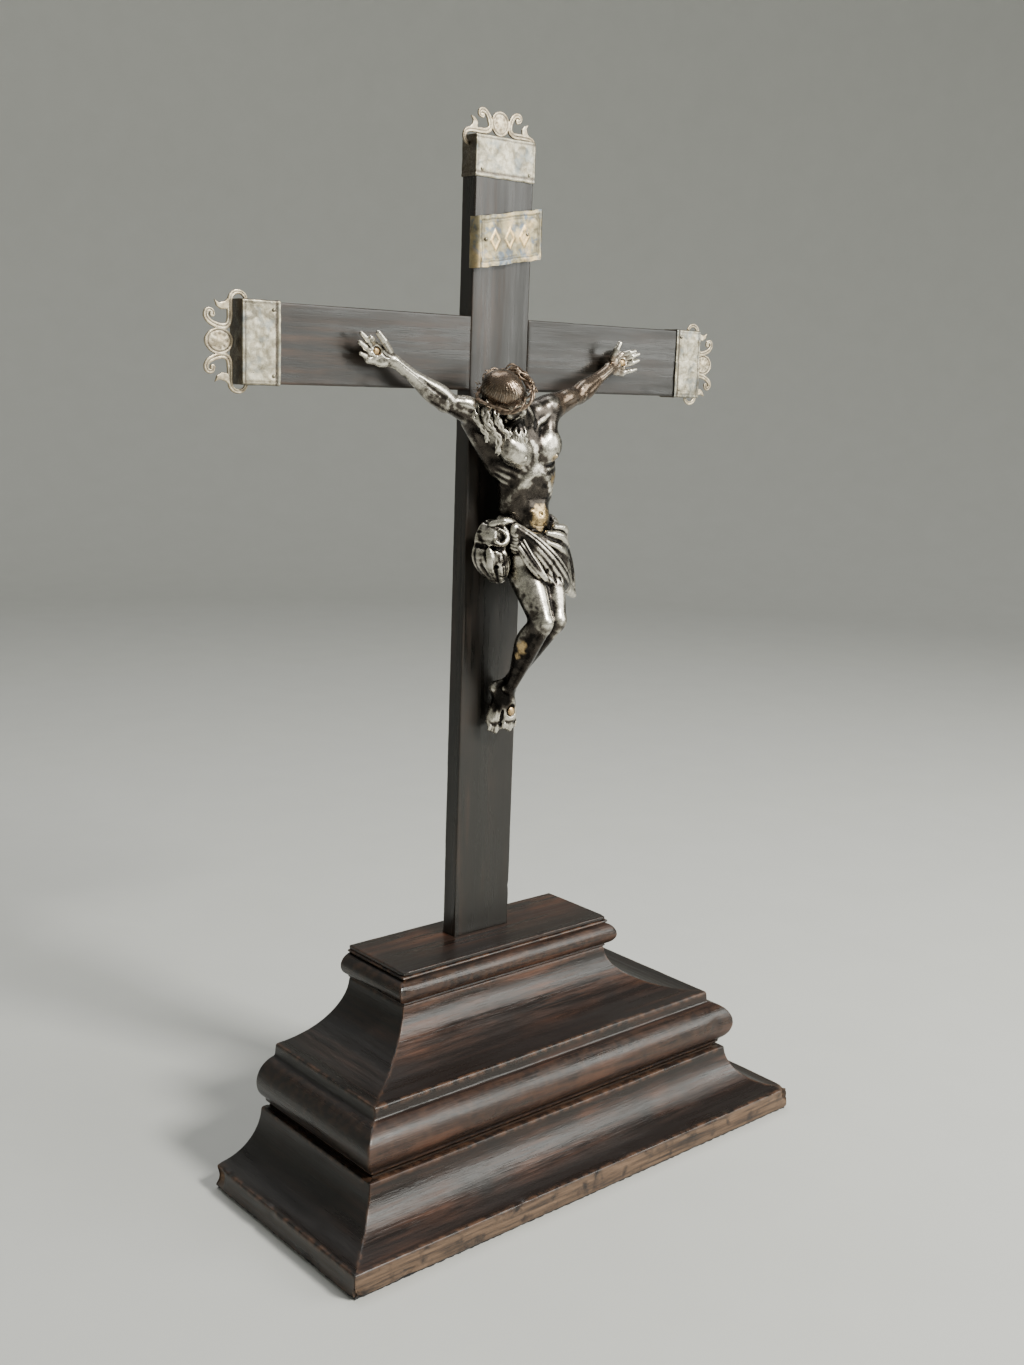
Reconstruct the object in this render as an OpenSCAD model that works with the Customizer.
// Altar cross on a stepped, moulded base, with a cast figure, silver end caps
// and a small plaque. Millimetres, +Z up, the front faces -Y.
// The origin is under the middle of the base, on the surface it stands on.

/* [Base] */
// Length of the plinth
base_length = 340; // [320:1:360]
// Depth of the plinth, front to flat back
base_depth = 137.5; // [130:0.5:145]
// Thickness of the felt glued underneath
felt_thickness = 1.2; // [0.8:0.1:2]
// Height of the square edge of the plinth
plinth_edge = 14.2; // [12:0.1:16]
// Height of the top of the lower cove
lower_cove_top = 40.8; // [38:0.1:42]
// Width of the lower cove, from plinth edge to its top
lower_cove_run = 30.1; // [26:0.1:33]
// Radius of the half-round moulding in the middle
torus_r = 13.3; // [12:0.1:13.5]
// Height of the middle of that half-round
torus_z = 56.9; // [56:0.1:57.2]
// Height of the ledge that the upper cove stands on
ledge_z = 77.2; // [75:0.1:80]
// Depth of the ledge, measured from the flat back
ledge_depth = 97.8; // [96:0.1:99]
// Height of the top of the upper cove
upper_cove_top = 105.7; // [100:0.1:106]
// Depth of the top of the upper cove, from the flat back
upper_cove_depth = 53.6; // [52:0.1:54]
// Radius of the half-round of the cornice
cornice_r = 7; // [6:0.1:7]
// Height of the underside of the top board
top_board_z = 123.4; // [123:0.1:126]
// Thickness of the top board
top_board_thickness = 2.4; // [2:0.1:4]

/* [Cross] */
// Width of the upright
post_w = 42.2; // [38:0.1:44]
// Thickness of the upright and of the cross arm
board_t = 11.3; // [9:0.1:13]
// Height of the top of the upright
post_top = 587.2; // [560:0.1:620]
// Length of the cross arm
arm_length = 334; // [300:1:340]
// Height of the cross arm
arm_h = 40.6; // [36:0.1:44]
// Height of the lower edge of the cross arm
arm_z = 450.4; // [445:0.1:455]
// Distance from the front of the cross to the flat back of the base
cross_front_depth = 26.1; // [24:0.1:30]

/* [Silver] */
// Thickness of the sheet of the end caps
cap_sheet = 0.7; // [0.5:0.1:1]
// Length of wood that an end cap covers
cap_length = 21.5; // [18:0.5:26]
// Thickness of the pierced crests
crest_sheet = 1.2; // [0.8:0.1:1.6]
// Thickness of the sheet of the plaque
plaque_sheet = 0.8; // [0.6:0.1:1.2]

/* [Figure] */
// Thickness of the shanks of the nails
nail_d = 2; // [1.6:0.1:2.4]
// Width of the head
head_w = 22; // [19:0.5:23]
// Length of the head from crown to chin
head_h = 29; // [26:0.5:31]

/* [Hidden] */

$fn = 48;

// the flat back of the base, and the faces of the cross
back_y = base_depth / 2;
front_y = back_y - cross_front_depth;
mid_y = front_y + board_t / 2;
post_half = post_w / 2;
arm_half = arm_length / 2;
arm_mid_z = arm_z + arm_h / 2;

// Half length of the base at a depth d from the back. The lower mouldings are
// mitred at 45 degrees, the upper ones run a little wider at the ends.
lower_extra = base_length / 2 - base_depth;
upper_ratio = (ledge_depth + lower_extra - 79.5) / (ledge_depth - upper_cove_depth);
function lower_half(d) = d + lower_extra;
function upper_half(d) = 79.5 + upper_ratio * (d - upper_cove_depth);

// depths of the hidden inner faces of the mouldings, from the back
lower_inner = 102;
torus_inner = 88;
upper_inner = 48;

// mortise and tenon of the upright
tenon_w = 34;
tenon_t = 8;
screw_x = 9;
screw_shank_d = 5;
screw_head_d = 10;
screw_head_z = 20;
screw_top = 110;

// ---------- outlines of the mouldings: points of [depth, height] ----------

arc_steps = 14;
cove_bottom_z = plinth_edge + 0.5;

// Quarter of an oval, hollow side outwards, from a low outer to a high inner point.
function cove(outer, inner) = [for (i = [0:arc_steps])
    let (a = 90 * i / arc_steps)
    [outer[0] + (inner[0] - outer[0]) * sin(a), inner[1] - (inner[1] - outer[1]) * cos(a)]];

function arc(centre, r, from, to) = [for (i = [0:arc_steps])
    let (a = from + (to - from) * i / arc_steps)
    [centre[0] + r * cos(a), centre[1] + r * sin(a)]];

lower_cove_depth = base_depth - lower_cove_run;
lower_cove_outline = concat(
    [[lower_inner, felt_thickness], [base_depth, felt_thickness], [base_depth, plinth_edge]],
    cove([base_depth - 1, cove_bottom_z], [lower_cove_depth, lower_cove_top]),
    [[lower_inner, lower_cove_top]]);

torus_depth = ledge_depth - 0.3;
torus_outline = concat(
    [[torus_inner, lower_cove_top], [lower_inner, lower_cove_top], [lower_inner, 43.2], [104.5, 43.2]],
    arc([torus_depth, torus_z], torus_r, -58, 84),
    [[ledge_depth + 0.6, torus_z + torus_r + 0.3], [ledge_depth, ledge_z], [torus_inner, ledge_z]]);

upper_cove_outline = concat(
    [[upper_inner, ledge_z]],
    cove([ledge_depth - 0.5, ledge_z], [upper_cove_depth, upper_cove_top]),
    [[upper_inner, upper_cove_top]]);

cornice_depth = upper_cove_depth - 1.4;
cornice_z = upper_cove_top + 1.6 + cornice_r;
cornice_outline = concat(
    [[upper_inner, upper_cove_top], [54.4, upper_cove_top], [54.4, upper_cove_top + 1.5]],
    arc([cornice_depth, cornice_z], cornice_r, -80, 80),
    [[53.4, cornice_z + cornice_r + 0.4], [55, cornice_z + cornice_r + 0.5], [55, top_board_z],
        [upper_inner, top_board_z]]);
top_board_depth = 53.9;

ebony = [0.10, 0.075, 0.06];
raw_edge = [0.22, 0.15, 0.11];

// A run along the front: the outline is swept along X.
module front_run(outline, reach) {
    translate([-reach, back_y, 0]) rotate([90, 0, 90]) linear_extrude(2 * reach)
        polygon([for (p = outline) [-p[0], p[1]]]);
}

// A run along the right end: the outline is swept along Y, and widened to its mitre.
module side_run(outline, upper) {
    translate([0, back_y, 0]) rotate([90, 0, 0]) linear_extrude(base_depth + 5)
        polygon([for (p = outline) [upper ? upper_half(p[0]) : lower_half(p[0]), p[1]]]);
}

// Everything in front of the two mitre lines, between the two depths.
module mitre_wedge(upper, near, far) {
    half_near = upper ? upper_half(near) : lower_half(near);
    half_far = upper ? upper_half(far) : lower_half(far);
    linear_extrude(top_board_z + 20) polygon([
        [-half_near, back_y - near], [-half_far, back_y - far],
        [half_far, back_y - far], [half_near, back_y - near]]);
}

module mitred_front(outline, upper, near) {
    color(ebony) intersection() {
        front_run(outline, base_length / 2 + 5);
        mitre_wedge(upper, near, base_depth + 10);
    }
}

module mitred_right(outline, upper, near) {
    color(ebony) difference() {
        side_run(outline, upper);
        mitre_wedge(upper, near, base_depth + 10);
    }
}

module mitred_left(outline, upper, near) {
    mirror([1, 0, 0]) mitred_right(outline, upper, near);
}

// ---------- base ----------

module core_block(depth, half, low, high) {
    translate([-half, back_y - depth, low]) cube([2 * half, depth, high - low]);
}

module screw_holes(d, low, high) {
    for (side = [-1, 1]) translate([side * screw_x, mid_y, low]) cylinder(d = d, h = high - low);
}

module felt_lining() {
    inset = 1;
    color([0.05, 0.05, 0.05]) translate([-base_length / 2 + inset, -back_y + inset, 0])
        cube([base_length - 2 * inset, base_depth - 2 * inset, felt_thickness]);
}

module core_lower() {
    color(raw_edge) difference() {
        core_block(lower_inner, lower_half(lower_inner), felt_thickness, lower_cove_top);
        screw_holes(screw_shank_d, felt_thickness - 1, lower_cove_top + 1);
        screw_holes(screw_head_d + 1, felt_thickness - 1, screw_head_z + 4);
    }
}

module core_middle() {
    color(raw_edge) difference() {
        core_block(torus_inner, lower_half(torus_inner), lower_cove_top, ledge_z);
        screw_holes(screw_shank_d, lower_cove_top - 1, ledge_z + 1);
    }
}

module core_upper() {
    color(raw_edge) difference() {
        core_block(upper_inner, upper_half(upper_inner), ledge_z, top_board_z);
        translate([-tenon_w / 2, mid_y - tenon_t / 2, ledge_z - 1])
            cube([tenon_w, tenon_t, top_board_z - ledge_z + 2]);
    }
}

module lower_cove_front() { mitred_front(lower_cove_outline, false, lower_inner); }
module lower_cove_left() { mitred_left(lower_cove_outline, false, lower_inner); }
module lower_cove_right() { mitred_right(lower_cove_outline, false, lower_inner); }
module torus_front() { mitred_front(torus_outline, false, torus_inner); }
module torus_left() { mitred_left(torus_outline, false, torus_inner); }
module torus_right() { mitred_right(torus_outline, false, torus_inner); }
module upper_cove_front() { mitred_front(upper_cove_outline, true, upper_inner); }
module upper_cove_left() { mitred_left(upper_cove_outline, true, upper_inner); }
module upper_cove_right() { mitred_right(upper_cove_outline, true, upper_inner); }
module cornice_front() { mitred_front(cornice_outline, true, upper_inner); }
module cornice_left() { mitred_left(cornice_outline, true, upper_inner); }
module cornice_right() { mitred_right(cornice_outline, true, upper_inner); }

module top_board() {
    half = upper_half(top_board_depth);
    color(ebony) difference() {
        translate([-half, back_y - top_board_depth, top_board_z])
            cube([2 * half, top_board_depth, top_board_thickness]);
        translate([-post_half, front_y, top_board_z - 1]) cube([post_w, board_t, top_board_thickness + 2]);
    }
}

// ---------- cross ----------

// where the nails and pins go into the wood
hand_nail_x = 91;
hand_nail_z = 469.3;
foot_nail_x = 5.5;
foot_nail_z = 265;
nail_in_wood = 8;
pin_d = 1.2;
pin_in_wood = 5;
cap_pin_in = 4;
plaque_gap = 2.6;
plaque_pin_x = 15;

module along_y(d, from_y, to_y) {
    translate([0, from_y, 0]) rotate([-90, 0, 0]) cylinder(d = d, h = to_y - from_y);
}

module plaque_pin_places() {
    for (side = [-1, 1]) translate([side * plaque_pin_x, 0, 535 + side * 2.5]) children();
}

module cap_pin_places_top() {
    for (side = [-1, 1]) translate([side * (post_half - cap_pin_in), 0, post_top - cap_length + cap_pin_in])
        children();
}

module cap_pin_places_ends() {
    for (side = [-1, 1]) for (rise = [cap_pin_in, arm_h - cap_pin_in])
        translate([side * (arm_half - cap_length + cap_pin_in), 0, arm_z + rise]) children();
}

module post() {
    color(ebony) difference() {
        union() {
            translate([-post_half, front_y, top_board_z]) cube([post_w, board_t, post_top - top_board_z]);
            translate([-tenon_w / 2, mid_y - tenon_t / 2, ledge_z])
                cube([tenon_w, tenon_t, top_board_z - ledge_z]);
        }
        // the rear half is cut away where the arm crosses behind
        translate([-post_half - 1, mid_y, arm_z]) cube([post_w + 2, board_t, arm_h]);
        screw_holes(screw_shank_d, ledge_z - 1, screw_top);
        translate([foot_nail_x, 0, foot_nail_z]) along_y(nail_d, front_y - 1, front_y + nail_in_wood);
        plaque_pin_places() along_y(pin_d, front_y - 1, front_y + pin_in_wood);
        cap_pin_places_top() along_y(pin_d, front_y - 1, front_y + pin_in_wood);
    }
}

module cross_arm() {
    color(ebony) difference() {
        translate([-arm_half, front_y, arm_z]) cube([arm_length, board_t, arm_h]);
        // the front half is cut away where the upright crosses in front
        translate([-post_half, front_y - 1, arm_z - 1]) cube([post_w, board_t / 2 + 1, arm_h + 2]);
        for (side = [-1, 1]) translate([side * hand_nail_x, 0, hand_nail_z])
            along_y(nail_d, front_y - 1, front_y + nail_in_wood);
        cap_pin_places_ends() along_y(pin_d, front_y - 1, front_y + pin_in_wood);
    }
}

module fixing_screws() {
    color("slategray") for (side = [-1, 1]) translate([side * screw_x, mid_y, screw_head_z]) {
        cylinder(d = screw_head_d, h = 4);
        cylinder(d = screw_shank_d, h = screw_top - screw_head_z);
    }
}

// ---------- silver end caps, crests and pins ----------

silver = [0.72, 0.71, 0.68];

// the top crest stands out less than the end ones
top_squeeze = 0.82;

// A five-sided sheet box over the end of a board, its closed end at +X.
module end_cap(width, length) {
    difference() {
        translate([-length, -board_t / 2 - cap_sheet, -width / 2 - cap_sheet])
            cube([length + cap_sheet, board_t + 2 * cap_sheet, width + 2 * cap_sheet]);
        translate([-length - 1, -board_t / 2, -width / 2]) cube([length + 1, board_t, width]);
    }
}

module cap_top() {
    color(silver) difference() {
        translate([0, mid_y, post_top]) rotate([0, -90, 0]) end_cap(post_w, cap_length);
        cap_pin_places_top() along_y(pin_d, front_y - 2, front_y + 1);
    }
}

module cap_right() {
    color(silver) difference() {
        translate([arm_half, mid_y, arm_mid_z]) end_cap(arm_h, cap_length);
        cap_pin_places_ends() along_y(pin_d, front_y - 2, front_y + 1);
    }
}

module cap_left() { mirror([1, 0, 0]) cap_right(); }

// Points on a curve set by four control points. The first point is left out where
// one curve carries on from another.
curve_steps = 8;
function bezier(a, b, c, d, first = 1) = [for (i = [first:curve_steps])
    let (t = i / curve_steps, s = 1 - t)
    s * s * s * a + 3 * s * s * t * b + 3 * s * t * t * c + t * t * t * d];

// A ribbon along a path, widest in the middle of its length.
module ribbon(path, end_width, extra) {
    last = len(path) - 1;
    function along(i) = path[min(i + 1, last)] - path[max(i - 1, 0)];
    function side(i) = let (d = along(i), w = end_width + extra * sin(180 * i / last))
        [-d[1], d[0]] / norm(d) * w / 2;
    polygon(concat([for (i = [0:last]) path[i] + side(i)], [for (i = [last:-1:0]) path[i] - side(i)]));
}

function oval(centre, r_out, r_along) = [for (i = [0:23])
    centre + [r_out * cos(15 * i), r_along * sin(15 * i)]];

// Half of a crest: x is the way out from the end of the board, y is along its edge.
// A scroll curls beside the disc, passes it, runs along the end plate and hooks over
// the corner of the cap. A leaf stands out from the run.
module crest_half(edge, squeeze) {
    path = concat(
        bezier([13.6, 12.6], [13, 15.2], [16.8, 16], [17.6, 13.2], 0),
        bezier([17.6, 13.2], [18.4, 10], [13, 7.4], [8.5, 7]),
        bezier([8.5, 7], [5, 6.8], [4.2, 9.6], [4.2, 12.6]),
        bezier([4.2, 12.6], [4.2, 16], [4.6, edge], [3.4, edge + 2]),
        bezier([3.4, edge + 2], [1.6, edge + 5], [-4.6, edge + 5], [-5.2, edge]));
    ribbon([for (p = path) [p[0] * squeeze, p[1]]], 1.9, 1.3);
    translate([13.9 * squeeze, 12.8]) circle(1.5, $fn = 20);
    polygon([for (p = [[3.6, edge - 3], [6, edge - 4.8], [9, edge - 5], [11.6, edge - 3.4],
        [12.8, edge - 0.4], [10, edge - 1.8], [7, edge - 1], [4, edge + 1.6]]) [p[0] * squeeze, p[1]]]);
}

// The pierced sheet crest that grips the end of a board. The disc stands clear of it.
module crest(width, squeeze) {
    edge = width / 2;
    rotate([90, 0, 0]) translate([0, 0, -crest_sheet / 2]) linear_extrude(crest_sheet) difference() {
        union() {
            polygon(oval([10.2 * squeeze, 0], 8.2 * squeeze, 6.5));
            crest_half(edge, squeeze);
            mirror([0, 1]) crest_half(edge, squeeze);
        }
        translate([-20, -edge - cap_sheet]) square([20 + cap_sheet, width + 2 * cap_sheet]);
    }
}

module crest_top() {
    color(silver) translate([0, mid_y, post_top]) rotate([0, -90, 0]) crest(post_w, top_squeeze);
}

module crest_right() { color(silver) translate([arm_half, mid_y, arm_mid_z]) crest(arm_h, 1); }
module crest_left() { mirror([1, 0, 0]) crest_right(); }

module cap_pin() {
    along_y(pin_d, front_y - cap_sheet - 0.6, front_y + pin_in_wood);
    translate([0, front_y - cap_sheet, 0]) rotate([90, 0, 0]) cylinder(d = 2, h = 0.6);
}

module cap_pins() {
    color(silver) {
        cap_pin_places_top() cap_pin();
        cap_pin_places_ends() cap_pin();
    }
}

// ---------- plaque ----------

plaque_y = front_y - plaque_gap - plaque_sheet / 2;
plaque_left = -18.7;
plaque_right = 25;
left_roll_r = 3.4;
right_roll_r = 1.7;
roll_steps = 12;

// The sheet seen from above: it hooks back round the left edge of the upright, and
// its right edge is rolled up behind it.
function sheet_path() = concat(
    [for (i = [roll_steps:-1:0]) let (a = -90 - 128 * i / roll_steps)
        [plaque_left + left_roll_r * cos(a), plaque_y + left_roll_r * (1 + sin(a))]],
    [for (i = [0:roll_steps]) let (a = -90 + 285 * i / roll_steps)
        [plaque_right + right_roll_r * cos(a), plaque_y + right_roll_r * (1 + sin(a))]]);

// The upper and lower cuts of the sheet are parallel and rise to the right.
plaque_low = 520.3;
plaque_high = 547.9;
plaque_rise = 0.17;
plaque_reach = 30;

// A hand-cut sheet with its left and right edges rolled back.
module plaque() {
    color([0.55, 0.56, 0.52]) difference() {
        intersection() {
            linear_extrude(post_top) ribbon(sheet_path(), plaque_sheet, 0);
            translate([0, mid_y, 0]) rotate([90, 0, 0]) linear_extrude(30) polygon([
                [-plaque_reach, plaque_low - plaque_rise * plaque_reach],
                [plaque_reach, plaque_low + plaque_rise * plaque_reach],
                [plaque_reach, plaque_high + plaque_rise * plaque_reach],
                [-plaque_reach, plaque_high - plaque_rise * plaque_reach]]);
        }
        plaque_pin_places() along_y(pin_d, plaque_y - 2, plaque_y + 1);
    }
}

module plaque_pins() {
    plaque_face = plaque_y - plaque_sheet / 2;
    color([0.6, 0.5, 0.3]) plaque_pin_places() {
        along_y(pin_d, plaque_face, front_y + pin_in_wood);
        translate([0, plaque_face, 0]) rotate([90, 0, 0]) cylinder(d = 2.2, h = 0.7);
    }
}

// ---------- figure ----------

bronze = [0.16, 0.13, 0.11];
brass = [0.66, 0.52, 0.26];

// A ball at x across, d out from the front of the cross, and z up.
module ball(x, d, z, r, fn = 20) {
    translate([x, front_y - d, z]) sphere(r, $fn = fn);
}

module behind_front() {
    translate([-150, front_y, 200]) cube([300, 100, 350]);
}

// the flat joints between the arms and the body
shoulder_left_x = -24;
shoulder_right_x = 25;
dowel_d = 3;
dowel_depth = 17;

module dowel(x, z) {
    translate([x, front_y - dowel_depth, z]) rotate([0, 90, 0]) cylinder(d = dowel_d, h = 10, center = true);
}

module shoulder_dowels() {
    color(brass) {
        dowel(shoulder_left_x, 437.5);
        dowel(shoulder_right_x, 442);
    }
}

head_x = -17;
head_d = 27;
head_z = 447.5;
head_nod = 33;
head_lean = -37;

// The head hangs forwards and towards its right shoulder.
module head_frame() {
    translate([head_x, front_y - head_d, head_z])
        rotate([0, head_lean, 0]) rotate([head_nod, 0, 0]) children();
}

// An egg standing on its chin, smooth all round.
module head_form() {
    head_frame() rotate_extrude($fn = 32) polygon([for (i = [0:18])
        let (a = -90 + 10 * i, narrow = a < 0 ? 1 - 0.16 * sin(-a) : 1)
        [max(0, head_w / 2 * narrow * cos(a)), head_h / 2 * sin(a)]]);
}

module figure_body() {
    color(bronze) difference() {
        union() {
            hull() {
                ball(-14, 17, 431, 10);
                ball(17, 16, 435, 9.5);
                ball(10, 17.5, 403, 14);
            }
            hull() {
                ball(10.5, 17.5, 402, 13.5);
                ball(14, 16.5, 386, 12);
                ball(11, 19, 364, 15);
            }
            hull() {
                ball(-1, 20, 356, 11);
                ball(3, 41, 322, 7.5);
            }
            hull() {
                ball(23, 19, 356, 11);
                ball(16, 38, 322, 7.5);
            }
            hull() {
                ball(3, 41, 322, 7.5);
                ball(1, 15, 280, 4.6);
            }
            hull() {
                ball(16, 38, 322, 7.5);
                ball(4, 13, 280, 4.6);
            }
            hull() {
                ball(1, 10, 276, 6);
                ball(7, 10, 257, 6);
            }
            // neck
            translate([3, front_y - 20, 430]) rotate([20, -48, 0]) cylinder(r = 6, h = 18, $fn = 24);
            head_form();
            // loincloth: a roll round the hips, bunches at each side and a hanging end
            translate([11, front_y - 19, 362]) cylinder(r1 = 15.5, r2 = 18.5, h = 10, $fn = 32);
            ball(-13, 25, 366, 9);
            ball(-12, 25, 352, 9.5);
            ball(36, 20, 358, 8.5);
            translate([42, front_y - 18, 332]) rotate([0, -14, 0])
                cylinder(r1 = 5, r2 = 7.5, h = 26, $fn = 24);
        }
        behind_front();
        translate([shoulder_left_x - 60, front_y - 60, 415]) cube([60, 60, 60]);
        translate([shoulder_right_x, front_y - 60, 415]) cube([60, 60, 60]);
        dowel(shoulder_left_x, 437.5);
        dowel(shoulder_right_x, 442);
        translate([foot_nail_x, 0, foot_nail_z]) along_y(nail_d, front_y - 40, front_y + 1);
        // a flat under the nail head
        translate([foot_nail_x, 0, foot_nail_z]) along_y(5, front_y - 40, front_y - 14);
    }
}

// One arm, the hand open with its back against the wood.
module arm_form(side, shoulder, elbow, wrist_z) {
    hull() {
        ball(shoulder[0], shoulder[1], shoulder[2], 7.5);
        ball(elbow[0], elbow[1], elbow[2], 5);
    }
    hull() {
        ball(elbow[0], elbow[1], elbow[2], 5);
        ball(side * 78, 7, wrist_z, 3.6);
    }
    hull() {
        ball(side * 80, 6, wrist_z + 0.5, 3.4);
        ball(side * 91, 4, hand_nail_z + 3, 3.6);
        ball(side * 91, 4, hand_nail_z - 3, 3.6);
    }
    // fingers, curled a little, and the thumb
    for (finger = [0:3]) translate([side * 92, front_y - 4, hand_nail_z - 4 + 2.8 * finger])
        rotate([0, side * (82 - 5 * finger), 0]) rotate([side * 6, 0, 0])
            cylinder(r1 = 1.9, r2 = 1.4, h = 12.5, $fn = 16);
    translate([side * 86, front_y - 6, hand_nail_z + 2]) rotate([0, side * 32, 0])
        cylinder(r1 = 2, r2 = 1.4, h = 10, $fn = 16);
}

module hand_bore(side) {
    translate([side * hand_nail_x, 0, hand_nail_z]) {
        along_y(nail_d, front_y - 20, front_y + 1);
        along_y(4.4, front_y - 20, front_y - 7);
    }
}

module figure_left_arm() {
    color(bronze) difference() {
        arm_form(-1, [-22, 17, 436.5], [-48.5, 13, 443.5], 464.5);
        behind_front();
        translate([shoulder_left_x, front_y - 60, 400]) cube([60, 60, 80]);
        dowel(shoulder_left_x, 437.5);
        hand_bore(-1);
    }
}

module figure_right_arm() {
    color(bronze) difference() {
        arm_form(1, [23, 16, 441.5], [51.5, 12, 450], 464.5);
        behind_front();
        translate([shoulder_right_x - 60, front_y - 60, 400]) cube([60, 60, 80]);
        dowel(shoulder_right_x, 442);
        hand_bore(1);
    }
}

thorn_count = 14;
crown_twig_r = 2.3;
crown_r = head_w / 2 + crown_twig_r;
crown_rise = 4.5;
thorn_splay = 35;

module crown_of_thorns() {
    color([0.45, 0.33, 0.26]) head_frame() translate([0, 0, crown_rise]) {
        rotate_extrude($fn = 40) translate([crown_r, 0]) rotate(22.5) circle(crown_twig_r, $fn = 8);
        for (i = [0:thorn_count - 1]) rotate([0, 0, 360 * i / thorn_count]) translate([crown_r, 0, 0])
            rotate([0, 90 + (i % 2 == 0 ? thorn_splay : -thorn_splay), 0])
                cylinder(r1 = 1, r2 = 0.3, h = 4.6, $fn = 16);
    }
}

// A nail from its head at depth d out from the wood, to its end in the wood.
module nail(d, head_size) {
    along_y(nail_d, front_y - d, front_y + nail_in_wood);
    translate([0, front_y - d, 0]) rotate([90, 0, 0]) cylinder(d1 = head_size, d2 = head_size * 0.6, h = 1.4);
}

module left_hand_nail() {
    color(brass) translate([-hand_nail_x, 0, hand_nail_z]) nail(7, 4);
}

module right_hand_nail() {
    color(brass) translate([hand_nail_x, 0, hand_nail_z]) nail(7, 4);
}

module foot_nail() {
    color(brass) translate([foot_nail_x, 0, foot_nail_z]) nail(14, 4.8);
}

felt_lining();
core_lower();
core_middle();
core_upper();
lower_cove_front();
lower_cove_left();
lower_cove_right();
torus_front();
torus_left();
torus_right();
upper_cove_front();
upper_cove_left();
upper_cove_right();
cornice_front();
cornice_left();
cornice_right();
top_board();
post();
cross_arm();
fixing_screws();
cap_top();
cap_left();
cap_right();
crest_top();
crest_left();
crest_right();
cap_pins();
plaque();
plaque_pins();
figure_body();
figure_left_arm();
figure_right_arm();
shoulder_dowels();
crown_of_thorns();
left_hand_nail();
right_hand_nail();
foot_nail();
